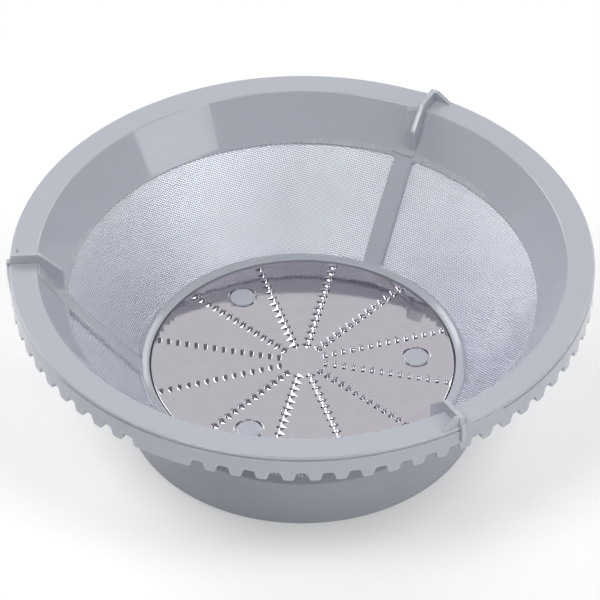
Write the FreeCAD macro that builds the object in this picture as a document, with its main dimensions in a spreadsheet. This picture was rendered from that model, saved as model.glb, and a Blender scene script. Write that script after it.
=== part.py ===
import FreeCAD, Part
import Sketcher
import os
import re

# Filter basket of a centrifugal juicer. +Z is the spin axis, and the origin is on that axis at the foot
# of the collar. Three mesh windows are centred on 0, 120 and 240 degrees, with a rib and a fin between
# each two.

# Driving sizes, in millimetres unless the name is a count or an angle
driving = {
    # Rim and skirt
    "rim_radius": 80.0,
    "rim_height": 53.7,
    "rim_width": 7.4,
    "rim_thickness": 2.0,
    "skirt_wall": 1.8,
    "skirt_depth": 5.8,
    "skirt_tooth_count": 72,
    "skirt_tooth_height": 2.6,
    "skirt_gap_root": 2.8,
    "skirt_gap_mouth": 4.3,
    "skirt_tooth_inset": 0.1,
    # Conical wall, its ribs and the mesh in it
    "wall": 2.2,
    "window_count": 3,
    "rib_width": 5.6,
    "rib_offset": 1.0,
    "mesh_top_radius": 65.0,
    "mesh_top_depth": 11.8,
    "mesh_low_radius": 44.8,
    "mesh_low_height": 16.1,
    "mesh_thickness": 0.4,
    "mesh_recess": 1.0,
    "mesh_grip": 1.6,
    "mesh_side_gap": 1.3,
    "mesh_columns": 10,
    "mesh_rows": 3,
    "mesh_bar": 1.8,
    "mesh_border": 3.0,
    # Fins over the rim
    "fin_thickness": 1.5,
    "fin_offset": 1.1,
    "fin_height": 2.9,
    "fin_crest_overhang": 0.9,
    "fin_outer_inset": 0.5,
    "fin_toe_inset": 7.2,
    "fin_toe_top_depth": 3.2,
    "fin_toe_low_depth": 9.8,
    "bar_proud": 0.9,
    "bar_rise": 0.6,
    "bar_depth": 5.0,
    "gusset_length": 5.0,
    "gusset_flat": 1.0,
    "gusset_wall": 1.2,
    "flare_angle": 9.0,
    "flare_depth": 2.8,
    "flare_drop": 0.4,
    # Lower ring, floor, collar and drive socket
    "lip_radius": 42.9,
    "lip_height": 15.6,
    "lip_width": 0.6,
    "ledge_width": 3.0,
    "floor_thickness": 2.0,
    "collar_top_radius": 48.2,
    "collar_top_height": 13.6,
    "collar_wall": 2.2,
    "foot_radius": 49.8,
    "hub_radius": 13.0,
    "hub_clear": 2.0,
    "socket_radius": 9.0,
    "socket_depth": 9.6,
    "key_count": 3,
    "key_width": 3.2,
    "key_depth": 1.6,
    "web_count": 6,
    "web_thickness": 1.6,
    "web_reach": 9.0,
    "web_drop": 7.0,
    # Grater disc, its teeth and the studs that hold it
    "disc_thickness": 0.5,
    "disc_recess": 0.4,
    "disc_clearance": 0.5,
    "dish_radius": 5.4,
    "dish_depth": 0.5,
    "stud_count": 3,
    "stud_circle": 31.8,
    "stud_radius": 2.5,
    "stud_clearance": 0.1,
    "stud_head_radius": 3.8,
    "stud_head_height": 0.9,
    "tooth_rows": 12,
    "teeth_in_row": 14,
    "tooth_first_radius": 6.7,
    "tooth_step": 2.65,
    "tooth_length": 1.9,
    "tooth_width": 1.3,
    "tooth_height": 0.75,
    "tooth_hole_length": 1.0,
    "tooth_land": 0.1,
}

doc = FreeCAD.newDocument("juicer_basket")
sheet = doc.addObject("Spreadsheet::Sheet", "sizes")
for row, (alias, number) in enumerate(driving.items(), start=1):
    sheet.set(f"A{row}", alias)
    sheet.set(f"B{row}", str(number))
    sheet.setAlias(f"B{row}", alias)
doc.recompute()

# Places that several features share, worked out from the driving sizes
rim_inner = "(rim_radius - rim_width)"
mesh_top_height = "(rim_height - mesh_top_depth)"
mesh_run = "(mesh_top_radius - mesh_low_radius)"
mesh_rise = f"({mesh_top_height} - mesh_low_height)"
mesh_slope = f"hypot({mesh_run}; {mesh_rise})"
upper_run = f"({rim_inner} - mesh_top_radius)"
upper_slope = f"hypot({upper_run}; mesh_top_depth)"
upper_across = f"(wall * {upper_slope} / mesh_top_depth)"
wall_end_drop = f"(wall * {mesh_run} / {mesh_slope})"
skirt_inner = "(rim_radius - skirt_wall)"
skirt_root = "(rim_height - skirt_depth)"
skirt_tip = f"({skirt_root} - skirt_tooth_height)"
rim_under = "(rim_height - rim_thickness)"
disc_top = "(lip_height - disc_recess)"
disc_seat = f"({disc_top} - disc_thickness)"
dish_top = f"({disc_top} - dish_depth)"
floor_top = f"({disc_seat} - dish_depth)"
floor_under = f"({floor_top} - floor_thickness)"
disc_radius = "(lip_radius - disc_clearance)"
socket_top = "(hub_clear + socket_depth)"
panel_angle = "(360 deg / window_count - 2 * asin(mesh_side_gap / mesh_low_radius))"
row_pitch = f"(({mesh_slope} - 2 * mesh_border) / mesh_rows)"
column_angle = f"({panel_angle} / (mesh_columns + 1))"
column_span = f"({column_angle} * (mesh_columns - 1))"
skirt_pitch = "(2 * pi * rim_radius / skirt_tooth_count)"
tooth_tip_half = f"(({skirt_pitch} - skirt_gap_mouth) / 2)"
tooth_root_half = f"(({skirt_pitch} - skirt_gap_root) / 2)"
tooth_anchor = f"({skirt_root} + skirt_tooth_height / 2)"
fin_near = "(fin_offset - fin_thickness / 2)"
fin_far = "(fin_offset + fin_thickness / 2)"


def bound(text):
    # A formula in the names above, as the sheet's cells
    return re.sub(r"[a-z_]+", lambda word: f"sizes.{word[0]}" if word[0] in driving else word[0], text)


def value(text):
    return float(sheet.evalExpression(bound(text)))


def on_mesh(along, across):
    # A point of the conical wall's section: along its slope from the mesh's low edge, and out through it
    radius = f"mesh_low_radius + (({along}) * {mesh_run} + ({across}) * {mesh_rise}) / {mesh_slope}"
    height = f"mesh_low_height + (({along}) * {mesh_rise} - ({across}) * {mesh_run}) / {mesh_slope}"
    return radius, height


def opposite(points):
    # The same section on the other side of the axis
    return [(f"-({radius})", height) for radius, height in points]


def new_body(label):
    body = doc.addObject("PartDesign::Body", label)
    body.Label = label
    body.AllowCompound = True
    return body


def origin_feature(body, role):
    return next(feature for feature in body.Origin.OriginFeatures if feature.Role == role)


def new_sketch(body, name, plane, offset="0"):
    sketch = body.newObject("Sketcher::SketchObject", name)
    sketch.AttachmentSupport = [(origin_feature(body, plane), "")]
    sketch.MapMode = "FlatFace"
    sketch.setExpression("AttachmentOffset.Base.z", bound(offset))
    return sketch


def fix_point(sketch, geometry, end, spot):
    for kind, text in zip(("DistanceX", "DistanceY"), spot):
        number = sketch.addConstraint(Sketcher.Constraint(kind, -1, 1, geometry, end, value(text)))
        sketch.setExpression(f"Constraints[{number}]", bound(text))


def add_outline(sketch, points):
    # A closed outline of straight sides through points given as pairs of formulas
    spots = [FreeCAD.Vector(value(across), value(up), 0) for across, up in points]
    lines = [
        sketch.addGeometry(Part.LineSegment(start, end))
        for start, end in zip(spots, spots[1:] + spots[:1])
    ]
    for line, following in zip(lines, lines[1:] + lines[:1]):
        sketch.addConstraint(Sketcher.Constraint("Coincident", line, 2, following, 1))
    for line, spot in zip(lines, points):
        fix_point(sketch, line, 1, spot)


def add_circle(sketch, spot, radius):
    centre = FreeCAD.Vector(value(spot[0]), value(spot[1]), 0)
    circle = sketch.addGeometry(Part.Circle(centre, FreeCAD.Vector(0, 0, 1), value(radius)))
    number = sketch.addConstraint(Sketcher.Constraint("Radius", circle, value(radius)))
    sketch.setExpression(f"Constraints[{number}]", bound(radius))
    fix_point(sketch, circle, 3, spot)


def new_feature(body, kind, name, sketch, **settings):
    # Text settings are formulas, apart from names of a choice
    feature = body.newObject(f"PartDesign::{kind}", name)
    feature.Refine = False
    feature.Profile = sketch
    if kind in ("Revolution", "Groove"):
        feature.ReferenceAxis = (sketch, ["V_Axis"])
    for setting, text in settings.items():
        if setting in ("Type", "SideType") or not isinstance(text, str):
            setattr(feature, setting, text)
        else:
            feature.setExpression(setting, bound(text))
    doc.recompute()
    return feature


def repeat_round(body, name, features, count, angle="360 deg"):
    pattern = body.newObject("PartDesign::PolarPattern", name)
    pattern.Refine = False
    pattern.Originals = features
    pattern.Axis = (origin_feature(body, "Z_Axis"), [""])
    pattern.setExpression("Angle", bound(angle))
    pattern.setExpression("Occurrences", bound(count))
    body.Tip = pattern
    doc.recompute()
    return pattern


def turned(angle, radius=0):
    # A place turned about the axis, then moved out from it
    turn = FreeCAD.Placement(FreeCAD.Vector(0, 0, 0), FreeCAD.Rotation(FreeCAD.Vector(0, 0, 1), angle))
    return turn.multiply(FreeCAD.Placement(FreeCAD.Vector(radius, 0, 0), FreeCAD.Rotation()))


def copies(body, places):
    # One solid repeated at many places
    shapes = []
    for place in places:
        shape = body.Shape.copy()
        shape.Placement = place
        shapes.append(shape)
    return shapes


def new_piece(label, shape):
    piece = doc.addObject("Part::Feature", label)
    piece.Label = label
    piece.Shape = shape
    return piece


def make_frame():
    body = new_body("plain_frame")

    # Lower half, turned: floor, disc ledge, lip, lower ring, shoulder, collar and hub
    lower = new_sketch(body, "lower_section", "XZ_Plane")
    add_outline(lower, [
        ("0", floor_top),
        ("lip_radius - ledge_width", floor_top),
        ("lip_radius - ledge_width", disc_seat),
        ("lip_radius", disc_seat),
        ("lip_radius", "lip_height"),
        ("lip_radius + lip_width", "lip_height"),
        on_mesh("0", "0"),
        on_mesh("0", "wall"),
        ("collar_top_radius", "collar_top_height"),
        ("foot_radius", "0"),
        ("foot_radius - collar_wall", "0"),
        ("collar_top_radius - collar_wall", floor_under),
        ("hub_radius", floor_under),
        ("hub_radius", "hub_clear"),
        ("socket_radius", "hub_clear"),
        ("socket_radius", socket_top),
        ("0", socket_top),
    ])
    new_feature(body, "Revolution", "lower_turned", lower, Angle="360 deg")

    # Upper half, turned: conical wall above the mesh, flat rim and plain skirt
    upper = new_sketch(body, "upper_section", "XZ_Plane")
    add_outline(upper, [
        ("mesh_top_radius", mesh_top_height),
        (rim_inner, "rim_height"),
        ("rim_radius", "rim_height"),
        ("rim_radius", skirt_root),
        (skirt_inner, skirt_root),
        (skirt_inner, rim_under),
        (f"{rim_inner} - rim_thickness * {upper_run} / mesh_top_depth + {upper_across}", rim_under),
        (f"mesh_top_radius - {wall_end_drop} * {upper_run} / mesh_top_depth + {upper_across}",
         on_mesh(mesh_slope, "wall")[1]),
    ])
    new_feature(body, "Revolution", "upper_turned", upper, Angle="360 deg")

    # Ribs across the mesh band, reaching into the rings above and below, a little to one side of the fins
    rib = new_sketch(body, "rib_section", "XZ_Plane", "rib_offset")
    add_outline(rib, opposite([
        on_mesh("-mesh_grip", "wall / 4"),
        on_mesh("0", "0"),
        on_mesh(mesh_slope, "0"),
        on_mesh(f"{mesh_slope} + mesh_grip", "wall / 4"),
        on_mesh(f"{mesh_slope} + mesh_grip", "wall * 3 / 4"),
        on_mesh(mesh_slope, "wall"),
        on_mesh("0", "wall"),
        on_mesh("-mesh_grip", "wall * 3 / 4"),
    ]))
    rib_pad = new_feature(body, "Pad", "rib", rib, Length="rib_width", SideType="Symmetric")
    repeat_round(body, "ribs", [rib_pad], "window_count")

    # Fins beside the ribs' centre planes: a blade over the rim and a bar down the skirt
    fin = new_sketch(body, "fin_outline", "XZ_Plane", "-fin_offset")
    add_outline(fin, opposite([
        ("rim_radius + bar_proud", "rim_height - bar_depth"),
        ("rim_radius + bar_proud", "rim_height + bar_rise"),
        ("rim_radius", "rim_height + bar_rise"),
        ("rim_radius - fin_outer_inset", "rim_height + fin_height"),
        (f"{rim_inner} - fin_crest_overhang", "rim_height + fin_height"),
        (f"{rim_inner} - fin_toe_inset", "rim_height - fin_toe_top_depth"),
        (f"{rim_inner} - fin_toe_inset", "rim_height - fin_toe_low_depth"),
        (f"{rim_inner} - fin_toe_low_depth * {upper_run} / mesh_top_depth + {upper_across} / 2",
         "rim_height - fin_toe_low_depth"),
        (f"{rim_inner} + {upper_across} / 2", "rim_height - rim_thickness / 2"),
        ("rim_radius - skirt_wall / 2", "rim_height - rim_thickness / 2"),
        ("rim_radius - skirt_wall / 2", "rim_height - bar_depth"),
    ]))
    fin_pad = new_feature(body, "Pad", "fin", fin, Length="fin_thickness", SideType="Symmetric")
    gusset = new_sketch(body, "gusset_outline", "YZ_Plane", "-(rim_radius - gusset_wall / 4)")
    add_outline(gusset, [
        ("fin_offset", "rim_height - rim_thickness / 2"),
        ("fin_offset", "rim_height + fin_height"),
        (f"{fin_far} + gusset_flat", "rim_height + fin_height"),
        (f"{fin_far} + gusset_length", "rim_height"),
        (f"{fin_far} + gusset_length", "rim_height - rim_thickness / 2"),
    ])
    gusset_pad = new_feature(body, "Pad", "gusset", gusset, Length="gusset_wall")
    flare = new_sketch(body, "flare_outline", "XY_Plane", "rim_height - flare_depth")
    add_outline(flare, [
        (f"-{skirt_inner}", "fin_offset"),
        ("-(rim_radius + bar_proud)", "fin_offset"),
        ("-(rim_radius + bar_proud)", fin_near),
        ("-rim_radius * cos(flare_angle * 1 deg)", "-rim_radius * sin(flare_angle * 1 deg)"),
        (f"-{skirt_inner} * cos(flare_angle * 1 deg)", f"-{skirt_inner} * sin(flare_angle * 1 deg)"),
    ])
    flare_pad = new_feature(body, "Pad", "flare", flare, Length="flare_depth - flare_drop")
    repeat_round(body, "fins", [fin_pad, gusset_pad, flare_pad], "window_count")

    # Slots that the mesh panels are moulded into
    slot = new_sketch(body, "mesh_slot_section", "XZ_Plane")
    add_outline(slot, mesh_section())
    slot_cut = new_feature(body, "Groove", "mesh_slot", slot, Angle=panel_angle, Midplane=True)
    repeat_round(body, "mesh_slots", [slot_cut], "window_count")

    # Keyways of the drive socket, and webs that brace the hub to the floor
    key = new_sketch(body, "key_outline", "XY_Plane", "hub_clear")
    add_outline(key, [
        ("0", "-key_width / 2"),
        ("socket_radius + key_depth", "-key_width / 2"),
        ("socket_radius + key_depth", "key_width / 2"),
        ("0", "key_width / 2"),
    ])
    key_cut = new_feature(body, "Pocket", "keyway", key, Length="socket_depth", Reversed=True)
    repeat_round(body, "keyways", [key_cut], "key_count")
    web = new_sketch(body, "web_outline", "XZ_Plane")
    add_outline(web, opposite([
        ("hub_radius - key_depth / 2", f"{floor_under} + floor_thickness / 2"),
        ("hub_radius + web_reach", f"{floor_under} + floor_thickness / 2"),
        ("hub_radius + web_reach", floor_under),
        ("hub_radius", f"{floor_under} - web_drop"),
        ("hub_radius - key_depth / 2", f"{floor_under} - web_drop"),
    ]))
    web_pad = new_feature(body, "Pad", "web", web, Length="web_thickness", SideType="Symmetric")
    repeat_round(body, "webs", [web_pad], "web_count")

    # Studs through the disc, with their heads melted over
    shank = new_sketch(body, "stud_outline", "XY_Plane", f"{floor_top} - floor_thickness / 2")
    add_circle(shank, ("stud_circle", "0"), "stud_radius")
    shank_length = f"{dish_top} - {floor_top} + floor_thickness / 2"
    shank_pad = new_feature(body, "Pad", "stud", shank, Length=shank_length)
    head = new_sketch(body, "stud_head_outline", "XY_Plane", dish_top)
    add_circle(head, ("stud_circle", "0"), "stud_head_radius")
    head_pad = new_feature(body, "Pad", "stud_head", head, Length="stud_head_height")
    repeat_round(body, "studs", [shank_pad, head_pad], "stud_count")

    # Teeth along the skirt's lower edge, three of them joined into a wide one in the middle of each window
    tooth_body = new_body("skirt_tooth")
    tooth = new_sketch(tooth_body, "skirt_tooth_outline", "YZ_Plane", f"{skirt_inner} + skirt_tooth_inset")
    add_outline(tooth, [
        (f"-{tooth_tip_half}", skirt_tip),
        (tooth_tip_half, skirt_tip),
        (tooth_root_half, skirt_root),
        (tooth_root_half, tooth_anchor),
        (f"-{tooth_root_half}", tooth_anchor),
        (f"-{tooth_root_half}", skirt_root),
    ])
    new_feature(tooth_body, "Pad", "tooth", tooth, Length="skirt_wall - 2 * skirt_tooth_inset")
    wide_body = new_body("wide_tooth")
    wide = new_sketch(wide_body, "wide_tooth_section", "XZ_Plane")
    add_outline(wide, [
        (f"{skirt_inner} + 2 * skirt_tooth_inset", skirt_tip),
        ("rim_radius - 2 * skirt_tooth_inset", skirt_tip),
        ("rim_radius - 2 * skirt_tooth_inset", tooth_anchor),
        (f"{skirt_inner} + 2 * skirt_tooth_inset", tooth_anchor),
    ])
    wide_angle = "720 deg / skirt_tooth_count"
    new_feature(wide_body, "Revolution", "wide_tooth_band", wide, Angle=wide_angle, Midplane=True)
    count = driving["skirt_tooth_count"]
    windows = driving["window_count"]
    plain_steps = [step for step in range(count) if step % (count // windows) != 0]
    teeth = copies(tooth_body, [turned(step * 360 / count) for step in plain_steps])
    teeth += copies(wide_body, [turned(step * 360 / windows) for step in range(windows)])
    return new_piece("basket_frame", body.Shape.multiFuse(teeth).removeSplitter())


def mesh_section():
    return [
        on_mesh("-mesh_grip", "mesh_recess"),
        on_mesh(f"{mesh_slope} + mesh_grip", "mesh_recess"),
        on_mesh(f"{mesh_slope} + mesh_grip", "mesh_recess + mesh_thickness"),
        on_mesh("-mesh_grip", "mesh_recess + mesh_thickness"),
    ]


def make_panel():
    # One window's mesh: a conical sheet with a coarse pattern of gaps between its bars
    body = new_body("mesh_panel_1")
    cone = new_sketch(body, "panel_section", "XZ_Plane")
    add_outline(cone, mesh_section())
    new_feature(body, "Revolution", "panel_cone", cone, Angle=panel_angle, Midplane=True)
    gaps = new_sketch(body, "panel_gap_section", "XZ_Plane")
    first_turn = FreeCAD.Rotation(FreeCAD.Vector(0, 1, 0), -1)
    gaps.AttachmentOffset = FreeCAD.Placement(FreeCAD.Vector(0, 0, 0), first_turn)
    gaps.setExpression("AttachmentOffset.Rotation.Angle", bound(f"-{column_span} / 2"))
    for step in range(driving["mesh_rows"]):
        low = f"(mesh_border + {step} * {row_pitch} + mesh_bar / 2)"
        high = f"(mesh_border + {step + 1} * {row_pitch} - mesh_bar / 2)"
        add_outline(gaps, [
            on_mesh(low, "0"),
            on_mesh(high, "0"),
            on_mesh(high, "wall"),
            on_mesh(low, "wall"),
        ])
    gap_angle = f"({column_angle} - asin(mesh_bar / mesh_low_radius))"
    cut = new_feature(body, "Groove", "panel_gap_column", gaps, Angle=gap_angle, Midplane=True)
    repeat_round(body, "panel_gaps", [cut], "mesh_columns", column_span)
    return body


def make_panel_copy(panel, number):
    # The same panel in the next window
    body = new_body(f"mesh_panel_{number}")
    body.BaseFeature = panel
    body.Placement = turned((number - 1) * 360 / driving["window_count"])
    doc.recompute()
    return body


def make_disc():
    # Pressed steel disc: dished round the studs, with rows of teeth pierced upwards
    body = new_body("dished_disc")
    plate = new_sketch(body, "disc_outline", "XY_Plane", disc_seat)
    add_circle(plate, ("0", "0"), disc_radius)
    new_feature(body, "Pad", "disc_plate", plate, Length="disc_thickness")
    under = new_sketch(body, "dish_under_outline", "XY_Plane", floor_top)
    add_circle(under, ("stud_circle", "0"), "dish_radius")
    under_pad = new_feature(body, "Pad", "dish_under", under, Length="dish_depth")
    hollow = new_sketch(body, "dish_outline", "XY_Plane", disc_top)
    add_circle(hollow, ("stud_circle", "0"), "dish_radius - disc_thickness / 2")
    hollow_cut = new_feature(body, "Pocket", "dish", hollow, Length="dish_depth")
    hole = new_sketch(body, "stud_hole_outline", "XY_Plane", disc_top)
    add_circle(hole, ("stud_circle", "0"), "stud_radius + stud_clearance")
    hole_cut = new_feature(body, "Pocket", "stud_hole", hole, Length="dish_depth + disc_thickness")
    repeat_round(body, "dishes", [under_pad, hollow_cut, hole_cut], "stud_count")

    # Teeth: a pointed burr standing behind the hole it is pierced from, its tail running out into the disc
    hole_body = new_body("tooth_hole")
    pierced = new_sketch(hole_body, "tooth_hole_outline", "XY_Plane", f"{disc_seat} - disc_thickness / 2")
    add_outline(pierced, [
        ("-tooth_width / 2", "-tooth_land"),
        ("0", "-tooth_hole_length"),
        ("tooth_width / 2", "-tooth_land"),
    ])
    new_feature(hole_body, "Pad", "piercing", pierced, Length="2 * disc_thickness")
    half = value("tooth_width / 2")
    foot = value(f"{disc_top} - disc_thickness / 2")
    left = FreeCAD.Vector(-half, 0, foot)
    right = FreeCAD.Vector(half, 0, foot)
    tail = FreeCAD.Vector(0, value("tooth_length"), foot)
    peak = FreeCAD.Vector(0, 0, value(f"{disc_top} + tooth_height"))
    sides = [(left, tail, right), (left, right, peak), (right, tail, peak), (tail, left, peak)]
    shell = Part.Shell([Part.Face(Part.makePolygon([*side, side[0]])) for side in sides])
    burr = new_piece("tooth_burr", Part.Solid(shell))
    row_angle = 360 / driving["tooth_rows"]
    places = [
        turned((row + 0.5) * row_angle, driving["tooth_first_radius"] + step * driving["tooth_step"])
        for row in range(driving["tooth_rows"])
        for step in range(driving["teeth_in_row"])
    ]
    pierced_disc = body.Shape.cut(copies(hole_body, places))
    return new_piece("grater_disc", pierced_disc.multiFuse(copies(burr, places)))


pieces = [make_frame(), make_panel()]
for number in range(2, driving["window_count"] + 1):
    pieces.append(make_panel_copy(pieces[1], number))
pieces.append(make_disc())
doc.recompute()
for item in doc.Objects:
    if "Invalid" in item.State or "Error" in item.State:
        raise RuntimeError(f"{item.Name} failed: {item.State}")
os.makedirs("parts", exist_ok=True)
for piece in pieces:
    if piece.Shape.isNull() or not piece.Shape.isValid() or len(piece.Shape.Solids) != 1:
        raise RuntimeError(f"{piece.Label} is not one valid solid")
    print(piece.Label, round(piece.Shape.Volume, 1))
    piece.Shape.exportStep(f"parts/{piece.Label}.step")
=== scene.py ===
import bpy
import bmesh
from math import asin, cos, hypot, pi, radians, sin, tan
from mathutils import Matrix, Vector
from mathutils.geometry import delaunay_2d_cdt
from mathutils.kdtree import KDTree


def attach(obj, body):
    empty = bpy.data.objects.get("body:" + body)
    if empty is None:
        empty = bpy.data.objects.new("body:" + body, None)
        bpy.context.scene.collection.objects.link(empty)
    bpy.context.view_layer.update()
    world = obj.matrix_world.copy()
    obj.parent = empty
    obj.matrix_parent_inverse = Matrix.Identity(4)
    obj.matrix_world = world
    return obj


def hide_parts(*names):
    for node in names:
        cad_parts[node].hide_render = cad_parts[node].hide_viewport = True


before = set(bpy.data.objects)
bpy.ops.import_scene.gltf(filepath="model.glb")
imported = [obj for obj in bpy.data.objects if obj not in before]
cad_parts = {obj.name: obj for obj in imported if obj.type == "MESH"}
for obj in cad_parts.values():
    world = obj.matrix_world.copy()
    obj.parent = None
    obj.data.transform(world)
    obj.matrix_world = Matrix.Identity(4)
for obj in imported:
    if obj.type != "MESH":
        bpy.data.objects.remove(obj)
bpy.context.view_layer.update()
scene = bpy.context.scene
mm = 0.001
creaseAngle = radians(50)  # edges bent more than this are bevelled, and count as fully worn
print("frame loaded")

# Sizes in millimetres and degrees, the same as the construction model
wallSizes = {
    "meshTopRadius": 65.0,
    "meshTopHeight": 41.9,
    "meshLowRadius": 44.8,
    "meshLowHeight": 16.1,
    "thickness": 2.2,
    "windows": 3,
}
meshRun = wallSizes["meshTopRadius"] - wallSizes["meshLowRadius"]
meshRise = wallSizes["meshTopHeight"] - wallSizes["meshLowHeight"]
meshSlope = hypot(meshRun, meshRise)
coneSin = meshRun / meshSlope
coneCos = meshRise / meshSlope


def linearColour(code):
    channels = [int(code[i:i + 2], 16) / 255 for i in (1, 3, 5)]
    return tuple(c / 12.92 if c <= 0.04045 else ((c + 0.055) / 1.055) ** 2.4 for c in channels) + (1.0,)


def addNode(tree, kind, settings=None, inputs=None):
    # An input is a plain value, a socket, or a node, which stands for its first output
    node = tree.nodes.new(kind)
    for name, value in (settings or {}).items():
        setattr(node, name, value)
    for name, value in (inputs or {}).items():
        if isinstance(value, bpy.types.Node):
            value = value.outputs[0]
        if isinstance(value, bpy.types.NodeSocket):
            tree.links.new(value, node.inputs[name])
        else:
            node.inputs[name].default_value = value
    return node


def newTree(name, inputs):
    # An empty geometry tree with named inputs for each kind of socket
    tree = bpy.data.node_groups.new(name, "GeometryNodeTree")
    for kind, labels in inputs.items():
        for label in labels:
            tree.interface.new_socket(label, in_out="INPUT", socket_type="NodeSocket" + kind)
    tree.interface.new_socket("Geometry", in_out="OUTPUT", socket_type="NodeSocketGeometry")
    return tree, addNode(tree, "NodeGroupInput").outputs


def roundedOutline(corners, steps=4):
    # Corners are x, y and radius; each rounded corner becomes an arc
    points = []
    count = len(corners)
    for i, (x, y, radius) in enumerate(corners):
        here = Vector((x, y))
        if radius <= 0:
            points.append((x, y))
            continue
        before = (Vector(corners[i - 1][:2]) - here).normalized()
        after = (Vector(corners[(i + 1) % count][:2]) - here).normalized()
        half = before.angle(after) / 2
        centre = here + (before + after).normalized() * (radius / sin(half))
        first = here + before * (radius / tan(half)) - centre
        last = here + after * (radius / tan(half)) - centre
        turn = first.angle_signed(last)
        for step in range(steps + 1):
            arm = first.copy()
            arm.rotate(Matrix.Rotation(-turn * step / steps, 2))
            points.append(tuple(centre + arm))
    return points


def conePoint(along, side, depth, middle=0.0):
    # A point of the conical wall: up its slope, round it (in millimetres at that radius) and out through it
    surface = wallSizes["meshLowRadius"] + along * coneSin
    angle = middle + side / surface
    radius = surface + depth * coneCos
    height = wallSizes["meshLowHeight"] + along * coneCos - depth * coneSin
    return radius * cos(angle), radius * sin(angle), height


def bridgeLoops(bm, loops, closedRound=True, closedAcross=False):
    # Quads between rows of vertices; a row of one vertex is a pole
    pairs = list(zip(loops, loops[1:]))
    if closedAcross:
        pairs.append((loops[-1], loops[0]))
    for lower, upper in pairs:
        count = max(len(lower), len(upper))
        for i in range(count if closedRound else count - 1):
            corners = []
            for row, j in ((lower, i), (lower, i + 1), (upper, i + 1), (upper, i)):
                vertex = row[j % len(row)]
                if vertex not in corners:
                    corners.append(vertex)
            if len(corners) > 2:
                bm.faces.new(corners)


def addTurned(bm, outline, segments):
    # An outline of radius and height turned about the axis; a point on the axis is a pole
    loops = []
    for radius, height in outline:
        if radius == 0:
            loops.append([bm.verts.new((0, 0, height))])
            continue
        angles = [2 * pi * i / segments for i in range(segments)]
        loops.append([bm.verts.new((radius * cos(a), radius * sin(a), height)) for a in angles])
    bridgeLoops(bm, loops, closedAcross=outline[0][0] > 0)


def addPlate(bm, outline, toPoint, thickness, bevel):
    # A flat plate with bevelled edges; toPoint takes outline x, y and depth to a place
    part = bmesh.new()
    low = [part.verts.new((x, y, -thickness / 2)) for x, y in outline]
    high = [part.verts.new((x, y, thickness / 2)) for x, y in outline]
    part.faces.new(low[::-1])
    part.faces.new(high)
    bridgeLoops(part, [low, high])
    bmesh.ops.recalc_face_normals(part, faces=part.faces)
    rims = [edge for edge in part.edges if edge.is_manifold and edge.calc_face_angle() > creaseAngle]
    bmesh.ops.bevel(
        part, geom=rims, offset=bevel, segments=3, profile=0.5, affect="EDGES", clamp_overlap=True)
    for vertex in part.verts:
        vertex.co = toPoint(*vertex.co)
    copyInto(bm, part)


def copyInto(bm, part):
    bmesh.ops.recalc_face_normals(part, faces=part.faces)
    holder = bpy.data.meshes.new("holder")
    part.to_mesh(holder)
    part.free()
    bm.from_mesh(holder)
    bpy.data.meshes.remove(holder)


def turnAbout(angle):
    return Matrix.Rotation(angle, 4, "Z")


def markEdges(bm):
    # How far a point stands on an outward edge, for the wear in the materials
    layer = bm.verts.layers.float.new("edgeWear")
    for vertex in bm.verts:
        edges = [edge for edge in vertex.link_edges if edge.is_manifold]
        bend = sum(max(0.0, edge.calc_face_angle_signed(0.0)) for edge in edges)
        vertex[layer] = min(1.0, bend / creaseAngle)


def finishPiece(bm, name, material, sharp=32):
    # Millimetres to metres, smooth faces with sharp creases, and flat faces that shade flat
    bmesh.ops.scale(bm, vec=(mm, mm, mm), verts=bm.verts)
    markEdges(bm)
    mesh = bpy.data.meshes.new(name)
    bm.to_mesh(mesh)
    bm.free()
    mesh.shade_smooth()
    mesh.set_sharp_from_angle(angle=radians(sharp))
    mesh.materials.append(material)
    piece = bpy.data.objects.new(name, mesh)
    scene.collection.objects.link(piece)
    even = piece.modifiers.new("evenNormals", "WEIGHTED_NORMAL")
    even.keep_sharp = True
    bpy.context.view_layer.update()
    piece.data = bpy.data.meshes.new_from_object(piece.evaluated_get(bpy.context.evaluated_depsgraph_get()))
    piece.modifiers.clear()
    print(name, len(mesh.polygons), "faces")
    return piece


# Materials, with the sizes of their patterns in millimetres
patternSizes = {
    "flowClouds": 22.2222,
    "scuffs": 1.428571,
    "rubbedPatches": 8.33333,
    "orangePeel": 1.111111,
    "meshStains": 6.25,
    "etchedPits": 0.25,  # coarser than real pits, which wouldn't show
    "grainLength": 16.66667,
    "grainWidth": 0.4,  # coarser than real rolling lines, which wouldn't show
    "pressWaves": 16.66667,
    "discStains": 3.846154,
}
patternScales = {name: 1 / (size * mm) for name, size in patternSizes.items()}


def newMaterial(name):
    material = bpy.data.materials.new(name)
    material.use_nodes = True
    tree = material.node_tree
    tree.nodes.clear()
    return material, tree


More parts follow.
